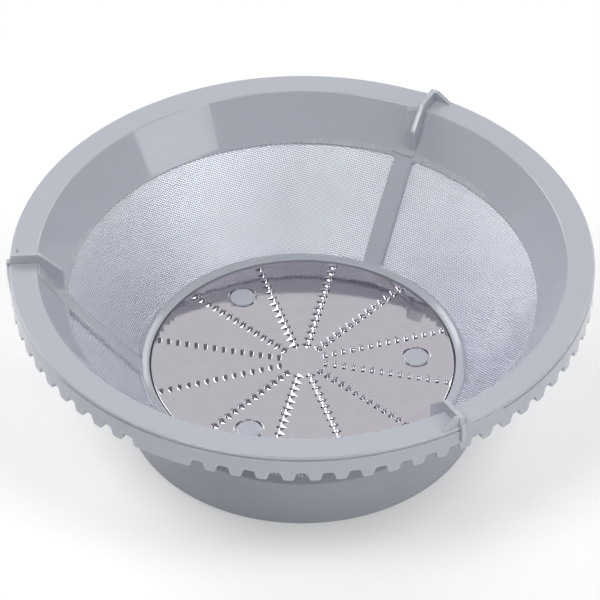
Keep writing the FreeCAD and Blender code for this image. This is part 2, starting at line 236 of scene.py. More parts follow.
def mouldedPlastic(name):
    # Glossy injection moulding: faint flow clouds in the colour, orange peel in the gloss, dull rubbed edges
    material, tree = newMaterial(name)
    place = addNode(tree, "ShaderNodeTexCoord").outputs["Object"]
    clouds = addNode(tree, "ShaderNodeTexNoise", inputs={
        "Vector": place, "Scale": patternScales["flowClouds"], "Detail": 3.0})
    body = addNode(tree, "ShaderNodeMix", {"data_type": "RGBA"}, {
        "Factor": clouds, 6: linearColour("#A6A9B2"), 7: linearColour("#AAADB6")})
    scuffs = addNode(tree, "ShaderNodeTexNoise", inputs={
        "Vector": place, "Scale": patternScales["scuffs"], "Detail": 5.0})
    edges = addNode(tree, "ShaderNodeAttribute", {"attribute_name": "edgeWear"})
    close = addNode(tree, "ShaderNodeMath", {"operation": "POWER"}, {0: edges.outputs["Fac"], 1: 6.0})
    spots = addNode(tree, "ShaderNodeMapRange", inputs={
        "Value": scuffs, "From Min": 0.4, "From Max": 0.65, "To Min": 0.0, "To Max": 0.4})
    worn = addNode(tree, "ShaderNodeMath", {"operation": "MULTIPLY"}, {0: close, 1: spots})
    colour = addNode(tree, "ShaderNodeMix", {"data_type": "RGBA"}, {
        "Factor": worn, 6: body.outputs[2], 7: linearColour("#C6C9D0")})
    rubbed = addNode(tree, "ShaderNodeTexNoise", inputs={
        "Vector": place, "Scale": patternScales["rubbedPatches"], "Detail": 6.0})
    rough = addNode(tree, "ShaderNodeMapRange", inputs={
        "Value": rubbed, "From Min": 0.3, "From Max": 0.75, "To Min": 0.08, "To Max": 0.15})
    dull = addNode(tree, "ShaderNodeMath", {"operation": "MULTIPLY_ADD"}, {0: worn, 1: 0.25, 2: rough})
    peel = addNode(tree, "ShaderNodeTexNoise", inputs={
        "Vector": place, "Scale": patternScales["orangePeel"], "Detail": 2.0})
    bump = addNode(tree, "ShaderNodeBump", inputs={"Height": peel, "Strength": 0.03, "Distance": 0.2 * mm})
    shader = addNode(tree, "ShaderNodeBsdfPrincipled", inputs={
        "Base Color": colour.outputs[2], "Roughness": dull, "Normal": bump, "IOR": 1.5})
    addNode(tree, "ShaderNodeOutputMaterial", inputs={"Surface": shader})
    return material


def etchedSteel(name):
    # Thin etched sheet: bright metal, finely pitted, slightly stained and duller in patches, with painted shade
    # in its slots, whose walls are coloured dark
    material, tree = newMaterial(name)
    place = addNode(tree, "ShaderNodeTexCoord").outputs["Object"]
    stains = addNode(tree, "ShaderNodeTexNoise", inputs={
        "Vector": place, "Scale": patternScales["meshStains"], "Detail": 4.0})
    colour = addNode(tree, "ShaderNodeMix", {"data_type": "RGBA"}, {
        "Factor": stains, 6: linearColour("#E6EAF4"), 7: linearColour("#F0F3FC")})
    # painted shade: the slot walls are coloured dark in place of the shade inside the slots
    walls = addNode(tree, "ShaderNodeAttribute", {"attribute_name": "slotWall"})
    slotShaded = addNode(tree, "ShaderNodeMix", {"data_type": "RGBA"}, {
        "Factor": walls.outputs["Fac"], 6: colour.outputs[2], 7: linearColour("#9A929E")})
    rough = addNode(tree, "ShaderNodeMapRange", inputs={
        "Value": stains, "From Min": 0.3, "From Max": 0.7, "To Min": 0.36, "To Max": 0.46})
    pits = addNode(tree, "ShaderNodeTexNoise", inputs={
        "Vector": place, "Scale": patternScales["etchedPits"], "Detail": 1.0})
    bump = addNode(tree, "ShaderNodeBump", inputs={"Height": pits, "Strength": 0.05, "Distance": 0.05 * mm})
    shader = addNode(tree, "ShaderNodeBsdfPrincipled", inputs={
        "Base Color": slotShaded.outputs[2], "Metallic": 1.0, "Roughness": rough, "Normal": bump})
    addNode(tree, "ShaderNodeOutputMaterial", inputs={"Surface": shader})
    return material


def polishedSteel(name):
    # Bright rolled sheet: long fine grain across it, faint waves from pressing and small stains
    material, tree = newMaterial(name)
    place = addNode(tree, "ShaderNodeTexCoord").outputs["Object"]
    long, fine = patternScales["grainLength"], patternScales["grainWidth"]
    stretched = addNode(tree, "ShaderNodeMapping", inputs={"Vector": place, "Scale": (long, fine, long)})
    grain = addNode(tree, "ShaderNodeTexNoise", inputs={"Vector": stretched, "Scale": 1.0, "Detail": 3.0})
    waves = addNode(tree, "ShaderNodeTexNoise", inputs={
        "Vector": place, "Scale": patternScales["pressWaves"], "Detail": 1.0})
    stains = addNode(tree, "ShaderNodeTexNoise", inputs={
        "Vector": place, "Scale": patternScales["discStains"], "Detail": 5.0})
    colour = addNode(tree, "ShaderNodeMix", {"data_type": "RGBA"}, {
        "Factor": stains, 6: linearColour("#CFCAD2"), 7: linearColour("#D8D4DC")})
    rough = addNode(tree, "ShaderNodeMapRange", inputs={
        "Value": grain, "From Min": 0.3, "From Max": 0.7, "To Min": 0.03, "To Max": 0.07})
    lines = addNode(tree, "ShaderNodeBump", inputs={"Height": grain, "Strength": 0.02, "Distance": 0.1 * mm})
    bump = addNode(tree, "ShaderNodeBump", inputs={
        "Height": waves, "Strength": 0.015, "Distance": 0.5 * mm, "Normal": lines})
    shader = addNode(tree, "ShaderNodeBsdfPrincipled", inputs={
        "Base Color": colour.outputs[2], "Metallic": 1.0, "Roughness": rough, "Normal": bump})
    addNode(tree, "ShaderNodeOutputMaterial", inputs={"Surface": shader})
    return material


plastic = mouldedPlastic("greyPlasticMoulded")
meshSteel = etchedSteel("stainlessSheetEtched")
discSteel = polishedSteel("stainlessSheetPolished")
print("materials made")

# Basket frame
frameSizes = {
    "rimRadius": 80.0,
    "rimHeight": 53.7,
    "rimInner": 72.6,
    "rimThickness": 2.0,
    "grooveDepth": 0.45,
    "grooveDrops": (0.8, 0.95, 1.4, 1.6),  # its edge, bed, bed and edge again, below the rim's top
    "skirtWall": 1.8,
    "skirtRoot": 47.9,
    "skirtTip": 45.3,
    "skirtRound": 0.35,
    "teeth": 72,
    "gapRoot": 2.8,
    "gapMouth": 4.3,
    "toothRound": 0.6,
    "windowLowRound": 0.8,
    "windowTopRound": 1.5,
    "windowStrip": 0.9,
    "notchDepth": 0.3,
    "notchStep": 0.5,
    "bandOverlap": 1.6,
    "ribWidth": 5.6,
    "ribOffset": 1.0,
    "finThickness": 1.5,
    "finOffset": 1.1,
    "finHeight": 2.89,
    "finFootRadius": 65.4,
    "finFootDrop": 9.8,
    "barProud": 0.89,
    "barDrop": 5.0,
    "buttressReach": 5.4,
    "buttressThickness": 1.2,
    "buttressInset": 1.3,
    "flareAngle": 9.0,
    "flareHeight": 2.3,
    "flareDrop": 1.6,
    "padProud": 0.5,
    "padThickness": 1.2,
    "studs": 3,
    "studCircle": 31.8,
    "studHead": 3.5,
    "studNeck": 2.5,
    "hubRadius": 13.0,
    "hubTop": 11.9,
    "hubFoot": 2.0,
    "hubChamfer": 0.4,
    "socketRadius": 9.0,
    "keyways": 3,
    "keyHalf": 1.6,
    "keyDepth": 1.6,
    "webs": 6,
    "webThickness": 1.6,
}


def skirtEdge():
    # The skirt's lower edge, as angle and height, once round
    size = frameSizes
    pitch = 2 * pi / size["teeth"]
    perWindow = size["teeth"] // wallSizes["windows"]
    toAngle = 1 / size["rimRadius"]
    drop = size["skirtRoot"] - size["skirtTip"]
    mouth, root, rounding = size["gapMouth"] / 2, size["gapRoot"] / 2, size["toothRound"]
    beside = mouth + 0.7  # end points that only give the corners a direction
    shape = roundedOutline([
        (-beside, 0, 0),
        (-mouth, 0, rounding),
        (-root, drop, rounding),
        (root, drop, rounding),
        (mouth, 0, rounding),
        (beside, 0, 0),
    ], 2)[1:-1]
    edge = []
    for i in range(size["teeth"]):
        middle = (i + 0.5) * pitch
        isFilled = i % perWindow in (0, perWindow - 1)  # three teeth are joined below each window's middle
        for across, up in shape:
            edge.append((middle + across * toAngle, size["skirtTip"] + (0 if isFilled else up)))
    return edge


def addRim(bm):
    # One section, taken round: the skirt's inside, the wall above the windows, the rim and the skirt
    size = frameSizes
    top = size["rimHeight"]
    under = top - size["rimThickness"]
    outer = size["rimRadius"]
    inner = outer - size["skirtWall"]
    slope = (size["rimInner"] - wallSizes["meshTopRadius"]) / (top - wallSizes["meshTopHeight"])
    across = wallSizes["thickness"] * hypot(1, slope)
    lowZ = wallSizes["meshTopHeight"] - wallSizes["thickness"] * coneSin
    lowR = wallSizes["meshTopRadius"] - wallSizes["thickness"] * coneSin * slope + across
    bed = outer - size["grooveDepth"]
    edgeTop, bedTop, bedLow, edgeLow = (top - drop for drop in size["grooveDrops"])
    level = size["skirtTip"] + 1.0  # end points that only give the corners a direction
    fixed = roundedOutline([
        (inner, level, 0),
        (inner, under, 0.8),
        (size["rimInner"] - size["rimThickness"] * slope + across, under, 0.8),
        (lowR, lowZ, 0.5),
        (wallSizes["meshTopRadius"], wallSizes["meshTopHeight"], 0.25),
        (size["rimInner"], top, 0.6),
        (outer, top, 0.4),
        (outer, edgeTop, 0.1),
        (bed, bedTop, 0.1),
        (bed, bedLow, 0.1),
        (outer, edgeLow, 0.2),
        (outer, level, 0),
    ])[1:-1]
    above = 9  # the same for the lip under the teeth
    lip = roundedOutline([
        (outer, above, 0),
        (outer, 0, size["skirtRound"]),
        (inner, 0, size["skirtRound"]),
        (inner, above, 0),
    ], 3)[1:-1]
    edge = skirtEdge()
    loops = []
    for radius, height in fixed:
        loops.append([bm.verts.new((radius * cos(a), radius * sin(a), height)) for a, low in edge])
    for radius, height in lip:
        loops.append([bm.verts.new((radius * cos(a), radius * sin(a), low + height)) for a, low in edge])
    bridgeLoops(bm, loops, closedAcross=True)


def windowOutline():
    # One mesh window in along and side millimetres, all but one of its edges finely serrated
    size = frameSizes
    low = wallSizes["meshLowRadius"]
    top = wallSizes["meshTopRadius"]
    near = size["ribWidth"] / 2 - size["ribOffset"]
    far = size["ribWidth"] / 2 + size["ribOffset"]
    full = pi / wallSizes["windows"]
    high = meshSlope - size["windowStrip"]
    corners = roundedOutline([
        ((asin(far / low) - full) * low, 0, size["windowLowRound"]),
        ((full - asin(near / low)) * low, 0, size["windowLowRound"]),
        ((full - asin(near / top)) * low, high, size["windowTopRound"]),
        ((asin(far / top) - full) * low, high, size["windowTopRound"]),
    ], 6)
    points = []
    for (x0, y0), (x1, y1) in zip(corners, corners[1:] + corners[:1]):
        length = hypot(x1 - x0, y1 - y0)
        isSide = length > 10  # the rest are steps of the rounded corners
        isLevel = abs(y1 - y0) < 0.01
        steps = max(1, round(length / size["notchStep"]))
        for step in range(steps):
            share = step / steps
            notch = size["notchDepth"] * (step % 2) if isSide and step > 0 else 0.0
            x, y = x0 + (x1 - x0) * share, y0 + (y1 - y0) * share
            if isLevel:
                y += notch if y < meshSlope / 2 else -notch
            elif x < 0:
                x += notch
            points.append((x, y))
    return points


def addWindowBand(bm, middle):
    # The plastic round one window: two half ribs and the edges above and below, thick as the wall
    part = bmesh.new()
    outline = windowOutline()
    low = wallSizes["meshLowRadius"]
    full = pi / wallSizes["windows"] * low
    deep = wallSizes["thickness"]
    # The window's rounded edge: how far it stands back, and how deep in the wall
    section = [
        (0.7, 0.0), (0.3, 0.1), (0.08, 0.32), (0.0, 0.7),
        (0.0, deep - 0.4), (0.15, deep - 0.12), (0.5, deep)]
    half = meshSlope / 2
    border = []
    for x, y in outline:
        # Where a ray from the window's middle leaves the sector, a little past the wall's ends
        dx, dy = x / full, (y - half) / (half + frameSizes["bandOverlap"])
        reach = max(abs(dx), abs(dy))
        border.append((x / reach, half + (y - half) / reach))
    loops = []
    for depth in (deep, 0.0):
        loops.append([(x, y, depth) for x, y in border])
    for back, depth in section:
        row = []
        for (x, y), (bx, by) in zip(outline, border):
            away = Vector((bx - x, by - y)).normalized() * back
            row.append((x + away.x, y + away.y, depth))
        loops.append(row)
    rows = []
    for row in loops:
        verts = []
        for x, y, depth in row:
            radius = low + y * coneSin
            verts.append(part.verts.new(conePoint(y, x * radius / low, depth, middle)))
        rows.append(verts)
    bridgeLoops(part, rows, closedAcross=True)
    copyInto(bm, part)


def addFin(bm, angle):
    # A thin blade over the rim with a bar down the skirt, a buttress on one side and a flare on the other
    size = frameSizes
    turn = turnAbout(angle)
    rim = size["rimRadius"]
    top = size["rimHeight"]
    crest = top + size["finHeight"]
    within = top - 1.0  # inside the rim
    y = -size["finOffset"]
    blade = roundedOutline([
        (rim + size["barProud"], top - size["barDrop"], 0.3),  # bar down the skirt
        (rim + size["barProud"], top + 0.6, 0.4),
        (rim, top + 0.6, 0.3),
        (rim - 0.5, crest, 0.6),  # crest
        (71.7, crest, 1.6),
        (size["finFootRadius"], top - 3.2, 1.2),  # foot on the wall
        (size["finFootRadius"], top - size["finFootDrop"], 0.5),
        (67.5, top - size["finFootDrop"], 0),  # from here inside the wall and the rim
        (74.4, within, 0),
        (rim - 0.9, within, 0),
        (rim - 0.9, top - size["barDrop"], 0),
    ], 3)
    addPlate(bm, blade, lambda u, v, d: turn @ Vector((u, y + d, v)), size["finThickness"], 0.22)

    far = y - size["finThickness"] / 2
    end = far - size["buttressReach"]
    ridge = crest - 0.08  # just under the crest, so that the two tops don't fight
    buttress = roundedOutline([
        (y, within, 0),
        (y, ridge, 0),
        (far - 1.0, ridge, 0.5),
        (end, top - 0.29, 0),  # runs out under the rim's face
        (end, within, 0),
    ], 3)
    inset = rim - size["buttressInset"]
    addPlate(bm, buttress, lambda u, v, d: turn @ Vector((inset + d, u, v)), size["buttressThickness"], 0.1)

    start = (y + size["finThickness"] / 2) / rim
    reach = radians(size["flareAngle"])
    steps = 10
    outer = []
    for i in range(steps + 1):
        share = i / steps
        a = start + (reach - start) * share
        radius = rim + size["barProud"] * (1 - share)
        outer.append((radius * cos(a), radius * sin(a)))
    sunk = rim - 1.0
    inner = [(sunk * cos(a), sunk * sin(a)) for a in (reach, reach * 0.5, start)]
    level = top - size["flareDrop"]
    addPlate(bm, outer + inner, lambda u, v, d: turn @ Vector((u, v, level + d)), size["flareHeight"], 0.2)


def addPad(bm, angle):
    # Each rib runs on up to the rim as a flat pad beside its fin, a little proud of the round wall
    size = frameSizes
    foot = Vector((wallSizes["meshTopRadius"], 0, wallSizes["meshTopHeight"]))
    rise = Vector((size["rimInner"], 0, size["rimHeight"])) - foot
    up = rise.normalized()
    inward = Vector((-up.z, 0, up.x))
    turn = turnAbout(angle)
    near = size["ribOffset"] - size["ribWidth"] / 2
    far = size["ribOffset"] + size["ribWidth"] / 2
    high = rise.length - 0.6  # ends just below the rim's face
    curve = [(far + 1.4, 0.0), (far + 0.6, 1.6), (far + 0.15, 3.6), (far, 6.0)]  # spreads at its foot
    outline = [(near, 0.0), *curve, (far, high), (near, high)]
    sunk = size["padProud"] - size["padThickness"] / 2

    def onWall(u, v, d):
        return turn @ (foot + up * v + inward * (d + sunk) + Vector((0, u, 0)))

    addPlate(bm, outline, onWall, size["padThickness"], 0.25)


def addLower(bm):
    # Floor, ring and collar in one turned section, the socket under it and the studs on it
    size = frameSizes
    outer = conePoint(0, 0, wallSizes["thickness"])
    addTurned(bm, roundedOutline([
        (0, 14.2, 0),  # floor under the disc
        (39.9, 14.2, 0),
        (39.9, 14.7, 0),  # ledge that the disc lies on
        (41.9, 14.7, 0),
        (41.9, 13.4, 0),  # groove under the disc's edge
        (42.9, 13.4, 0),
        (42.9, 15.6, 0.2),  # ring round the disc
        (43.5, 15.6, 0.2),
        (wallSizes["meshLowRadius"], wallSizes["meshLowHeight"], 0.2),
        (outer[0], outer[2], 0.4),
        (48.2, 13.6, 1.0),  # collar
        (49.8, 0, 0.6),
        (47.6, 0, 0.5),
        (46.0, 12.2, 1.0),
        (12.5, 12.2, 0),  # floor's underside, thicker over the socket
        (12.5, 11.6, 0),
        (0, 11.6, 0),
    ]), 256)
    addHub(bm)
    head, neck = size["studHead"], size["studNeck"]
    for i in range(size["studs"]):
        part = bmesh.new()
        addTurned(part, roundedOutline([
            (0, 15.6, 0),  # melted head
            (head, 15.6, 0.45),
            (head, 14.72, 0.1),
            (neck, 14.72, 0),  # neck through the disc
            (neck, 13.4, 0),
            (0, 13.4, 0),
        ]), 48)
        place = turnAbout(2 * pi * i / size["studs"]) @ Matrix.Translation((size["studCircle"], 0, 0))
        bmesh.ops.transform(part, matrix=place, verts=part.verts)
        copyInto(bm, part)


def addHub(bm):
    # Drive socket under the floor: a tube with keyways inside, braced by webs
    size = frameSizes
    hub, bore, chamfer = size["hubRadius"], size["socketRadius"], size["hubChamfer"]
    top, foot = size["hubTop"], size["hubFoot"]
    deep = bore + size["keyDepth"]
    narrow, wide = asin(size["keyHalf"] / bore), asin(size["keyHalf"] / deep)
    step = 2 * pi / size["keyways"]
    arcs = 16
    inside = []
    for k in range(size["keyways"]):
        middle = k * step
        inside += [
            (middle - narrow, bore), (middle - wide, deep), (middle, deep),
            (middle + wide, deep), (middle + narrow, bore)]
        inside += [(middle + narrow + (step - 2 * narrow) * i / arcs, bore) for i in range(1, arcs)]
    part = bmesh.new()
    rows = []
    for radius, height in ((hub, top), (hub, foot + chamfer), (hub - chamfer, foot)):
        rows.append([part.verts.new((radius * cos(a), radius * sin(a), height)) for a, wall in inside])
    for wider, height in ((chamfer, foot), (0.0, foot + chamfer), (0.0, top)):
        rows.append([
            part.verts.new(((wall + wider) * cos(a), (wall + wider) * sin(a), height)) for a, wall in inside])
    bridgeLoops(part, rows, closedAcross=True)
    copyInto(bm, part)
    web = [(12.2, 12.6), (22.0, 12.6), (22.0, 12.2), (hub, 5.2), (12.2, 5.2)]
    for k in range(size["webs"]):
        turn = turnAbout(2 * pi * k / size["webs"] + pi)
        addPlate(bm, web, lambda u, v, d: turn @ Vector((u, d, v)), size["webThickness"], 0.15)


def makeFrame():
    bm = bmesh.new()
    addRim(bm)
    for i in range(wallSizes["windows"]):
        middle = 2 * pi * i / wallSizes["windows"]
        addWindowBand(bm, middle)
        addFin(bm, middle + pi)
        addPad(bm, middle + pi)
    addLower(bm)
    bmesh.ops.recalc_face_normals(bm, faces=bm.faces)
    return finishPiece(bm, "basketFrame", plastic)


basketFrame = makeFrame()
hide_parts("basket_frame")
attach(basketFrame, "root")
print("frame piece made")

# Mesh panels
panelSizes = {
    "pitch": 0.716,
    "rowPitch": 0.62,
    "slotLong": 0.46,
    "slotWide": 0.34,
    "thickness": 0.14,
    "recess": 1.1,
    "grip": 0.7,
    "sideGap": 0.5,
    "gridTurns": (-33.0, 37.0, 37.0),
    "weld": 0.01,
}


def meshCell():
    # One leaning slot of the mesh with the crossing and the two bars that are its share of the sheet
    size = panelSizes
    lean = size["pitch"] / 2 / size["rowPitch"]
    xs = [-size["slotLong"] / 2, size["slotLong"] / 2, size["pitch"] - size["slotLong"] / 2]
    ys = [-size["slotWide"] / 2, size["slotWide"] / 2, size["rowPitch"] - size["slotWide"] / 2]
    bm = bmesh.new()
    # slotWall marks the slot walls, which the steel material colours dark as painted shade
    wall = bm.faces.layers.float.new("slotWall")
    spots = {}
    for k, depth in enumerate((0.0, size["thickness"])):
        for i, x in enumerate(xs):
            for j, y in enumerate(ys):
                spots[i, j, k] = bm.verts.new((x - y * lean, y, depth))
    for i, j in ((1, 0), (0, 1), (1, 1)):
        bm.faces.new([spots[a, b, 1] for a, b in ((i, j), (i + 1, j), (i + 1, j + 1), (i, j + 1))])
        bm.faces.new([spots[a, b, 0] for a, b in ((i, j + 1), (i + 1, j + 1), (i + 1, j), (i, j))])
    ring = ((0, 0), (1, 0), (1, 1), (0, 1))
    for (a, b), (c, d) in zip(ring, ring[1:] + ring[:1]):
        side = bm.faces.new([spots[c, d, 0], spots[a, b, 0], spots[a, b, 1], spots[c, d, 1]])
        side[wall] = 1.0
    mesh = bpy.data.meshes.new("meshCell")
    bm.to_mesh(mesh)
    bm.free()
    cell = bpy.data.objects.new("meshCell", mesh)
    scene.collection.objects.link(cell)
    return cell


def panelTree():
    # Cells in flat staggered rows, kept where the unrolled window is, then rolled on to the cone
    labels = (
        "Pitch", "Row Pitch", "Inner", "Outer", "Half Angle", "Apex Height", "Cone Sine", "Cone Cosine",
        "Turn", "Grid Turn")
    tree, given = newTree("perforatedPanel", {"Float": labels, "Object": ("Cell",), "Material": ("Material",)})
    spot = addNode(tree, "GeometryNodeInputPosition")
    parts = addNode(tree, "ShaderNodeSeparateXYZ", inputs={"Vector": spot}).outputs
    made = {label: given[label] for label in labels}
    made.update({axis: parts[axis] for axis in "XYZ"})
    for name, operation, *terms in (
        # A grid that covers the unrolled window however it is turned
        ("halfSine", "SINE", "Half Angle"),
        ("halfCosine", "COSINE", "Half Angle"),
        ("double", "MULTIPLY", "Outer", 2.0),
        ("wide", "MULTIPLY", "halfSine", "double"),
        ("lowest", "MULTIPLY", "Inner", "halfCosine"),
        ("tall", "SUBTRACT", "Outer", "lowest"),
        ("wideSquare", "MULTIPLY", "wide", "wide"),
        ("tallSquare", "MULTIPLY", "tall", "tall"),
        ("squares", "ADD", "wideSquare", "tallSquare"),
        ("span", "SQRT", "squares"),
        ("length", "MULTIPLY", "span", 1.6),  # staggered rows have to reach further
        ("acrossCount", "DIVIDE", "length", "Pitch"),
        ("columnSteps", "FLOOR", "acrossCount"),
        ("columns", "ADD", "columnSteps", 1.0),
        ("upCount", "DIVIDE", "span", "Row Pitch"),
        ("rowSteps", "FLOOR", "upCount"),
        ("rows", "ADD", "rowSteps", 1.0),
        ("sizeX", "MULTIPLY", "columnSteps", "Pitch"),
        ("sizeY", "MULTIPLY", "rowSteps", "Row Pitch"),
        ("halfTall", "DIVIDE", "tall", 2.0),
        ("middle", "SUBTRACT", "Outer", "halfTall"),
        # Each row steps half a pitch along from the one below
        ("halfPitch", "MULTIPLY", "Pitch", -0.5),
        ("stagger", "DIVIDE", "halfPitch", "Row Pitch"),
        ("shift", "MULTIPLY", "Y", "stagger"),
        # Distance from the cone's tip and angle about it, and whether they are outside the window
        ("squareX", "MULTIPLY", "X", "X"),
        ("squareY", "MULTIPLY", "Y", "Y"),
        ("awaySquare", "ADD", "squareX", "squareY"),
        ("away", "SQRT", "awaySquare"),
        ("around", "ARCTAN2", "X", "Y"),
        ("aside", "ABSOLUTE", "around"),
        ("tooNear", "LESS_THAN", "away", "Inner"),
        ("tooFar", "GREATER_THAN", "away", "Outer"),
        ("tooWide", "GREATER_THAN", "aside", "Half Angle"),
        ("offSlope", "MAXIMUM", "tooNear", "tooFar"),
        ("outside", "MAXIMUM", "offSlope", "tooWide"),
        # The same distance and angle as a place on the cone
        ("surface", "MULTIPLY", "away", "Cone Sine"),
        ("outward", "MULTIPLY", "Z", "Cone Cosine"),
        ("radius", "ADD", "surface", "outward"),
        ("along", "MULTIPLY", "away", "Cone Cosine"),
        ("downward", "MULTIPLY", "Z", "Cone Sine"),
        ("climb", "SUBTRACT", "along", "downward"),
        ("height", "ADD", "Apex Height", "climb"),
        ("spread", "DIVIDE", "around", "Cone Sine"),
        ("angle", "ADD", "spread", "Turn"),
        ("angleCosine", "COSINE", "angle"),
        ("angleSine", "SINE", "angle"),
        ("coneX", "MULTIPLY", "radius", "angleCosine"),
        ("coneY", "MULTIPLY", "radius", "angleSine"),
    ):
        inputs = {i: made.get(term, term) for i, term in enumerate(terms)}
        made[name] = addNode(tree, "ShaderNodeMath", {"operation": operation}, inputs)
    grid = addNode(tree, "GeometryNodeMeshGrid", inputs={
        "Size X": made["sizeX"], "Size Y": made["sizeY"],
        "Vertices X": made["columns"], "Vertices Y": made["rows"]})
    offset = addNode(tree, "ShaderNodeCombineXYZ", inputs={"X": made["shift"]})
    leaning = addNode(tree, "GeometryNodeSetPosition", inputs={"Geometry": grid, "Offset": offset})
    slant = addNode(tree, "ShaderNodeCombineXYZ", inputs={"Z": given["Grid Turn"]})
    lift = addNode(tree, "ShaderNodeCombineXYZ", inputs={"Y": made["middle"]})
    lifted = addNode(tree, "GeometryNodeTransform", inputs={
        "Geometry": leaning, "Rotation": slant, "Translation": lift})
    kept = addNode(tree, "GeometryNodeDeleteGeometry", {"domain": "POINT"}, {
        "Geometry": lifted, "Selection": made["outside"]})
    cell = addNode(tree, "GeometryNodeObjectInfo", inputs={"Object": given["Cell"]})
    placed = addNode(tree, "GeometryNodeInstanceOnPoints", inputs={
        "Points": kept, "Instance": cell.outputs["Geometry"], "Rotation": slant})
    solid = addNode(tree, "GeometryNodeRealizeInstances", inputs={"Geometry": placed})
    rolled = addNode(tree, "ShaderNodeCombineXYZ", inputs={
        "X": made["coneX"], "Y": made["coneY"], "Z": made["height"]})
    bent = addNode(tree, "GeometryNodeSetPosition", inputs={"Geometry": solid, "Position": rolled})
    painted = addNode(tree, "GeometryNodeSetMaterial", inputs={"Geometry": bent, "Material": given["Material"]})
    addNode(tree, "NodeGroupOutput", inputs={"Geometry": painted})
    return tree


def grow(name, tree, values):
    # Runs a node tree on an empty mesh and keeps its result as a plain piece
    holder = bpy.data.objects.new(name, bpy.data.meshes.new(name))
    scene.collection.objects.link(holder)
    modifier = holder.modifiers.new("shape", "NODES")
    modifier.node_group = tree
    for item in tree.interface.items_tree:
        if item.in_out == "INPUT":
            modifier[item.identifier] = values[item.name]
    bpy.context.view_layer.update()
    mesh = bpy.data.meshes.new_from_object(holder.evaluated_get(bpy.context.evaluated_depsgraph_get()))
    holder.modifiers.clear()
    holder.data = mesh
    return holder


def closeCutEdge(bm, thickness):
    # Where the sheet is cut, slot walls with no bar behind them go and the bars' ends are closed
    wall = bm.faces.layers.float["slotWall"]
    walls = [face for face in bm.faces if face[wall] > 0.5]
    loose = [face for face in walls if sum(edge.is_boundary for edge in face.edges) > 1]
    bmesh.ops.delete(bm, geom=loose, context="FACES")
    cut = [edge for edge in bm.edges if edge.is_boundary]
    ends = list(dict.fromkeys(vertex for edge in cut for vertex in edge.verts))
    finder = KDTree(len(ends))
    for i, vertex in enumerate(ends):
        finder.insert(vertex.co, i)
    finder.balance()
    across = {}  # each end's partner on the sheet's other face
    for i, vertex in enumerate(ends):
        for place, j, away in finder.find_range(vertex.co, thickness * 1.2):
            if j != i:
                across[vertex] = ends[j]
    for edge in cut:
        a, b = edge.verts
        if a in across and b in across:
            corners = [a, b, across[b], across[a]]
            if len(set(corners)) == 4 and bm.faces.get(corners) is None:
                bm.faces.new(corners)
    bmesh.ops.recalc_face_normals(bm, faces=bm.faces)


def makePanels():
    cell = meshCell()
    tree = panelTree()
    size = panelSizes
    lowSlant = wallSizes["meshLowRadius"] / coneSin
    # The sheet lies behind the plastic's face, so its own cone has its tip lower and starts further from it
    apex = wallSizes["meshLowHeight"] - lowSlant * coneCos - size["recess"] / coneSin
    shift = size["recess"] * coneCos / coneSin
    halfAngle = (pi / wallSizes["windows"] - size["sideGap"] / wallSizes["meshLowRadius"]) * coneSin
    panels = []
    for i in range(wallSizes["windows"]):
        panel = grow(f"meshPanel{i + 1}", tree, {
            "Pitch": size["pitch"],
            "Row Pitch": size["rowPitch"],
            "Inner": lowSlant - size["grip"] + shift,
            "Outer": lowSlant + meshSlope + size["grip"] + shift,
            "Half Angle": halfAngle,
            "Apex Height": apex,
            "Cone Sine": coneSin,
            "Cone Cosine": coneCos,
            "Turn": 2 * pi * i / wallSizes["windows"],
            "Grid Turn": radians(size["gridTurns"][i]),
            "Cell": cell,
            "Material": meshSteel,
        })
        bm = bmesh.new()
        bm.from_mesh(panel.data)
        bmesh.ops.remove_doubles(bm, verts=bm.verts, dist=size["weld"])
        closeCutEdge(bm, size["thickness"])
        bmesh.ops.scale(bm, vec=(mm, mm, mm), verts=bm.verts)
        for face in bm.faces:
            face.smooth = True
        bm.to_mesh(panel.data)
        bm.free()
        print(panel.name, len(panel.data.polygons), "faces")
        panels.append(panel)
    bpy.data.objects.remove(cell)
    return panels


for i, panel in enumerate(makePanels()):
    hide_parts(f"mesh_panel_{i + 1}")
    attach(panel, "root")
print("mesh panels made")

# Grater disc
discSizes = {
    "radius": 42.4,
    "top": 15.2,
    "thickness": 0.5,
    "edgeDrop": 0.12,
    "edgeWidth": 0.15,
    "dishRadius": 4.15,
    "dishDepth": 0.5,
    "dishSteps": ((0.05, 0.0), (-0.02, 0.05), (-0.07, 0.42), (-0.14, 0.5)),  # past the radius, and down
    "studHole": 2.6,
    "flatFrom": 40.0,
    "rows": 12,
    "teethInRow": 14,
    "firstRadius": 6.7,
    "step": 2.65,
    "toothLength": 1.9,
    "toothWidth": 1.3,
    "toothHeight": 0.75,
    "toothSunk": 0.05,
    "holeRadius": 0.58,
}


def toothPlaces():
    size = discSizes
    places = []
    for row in range(size["rows"]):
        angle = 2 * pi * (row + 0.5) / size["rows"]
        for i in range(size["teethInRow"]):
            places.append((size["firstRadius"] + i * size["step"], angle))
    return places


def circlePoints(x, y, radius, count):
    angles = [2 * pi * i / count for i in range(count)]
    return [(x + radius * cos(a), y + radius * sin(a)) for a in angles]


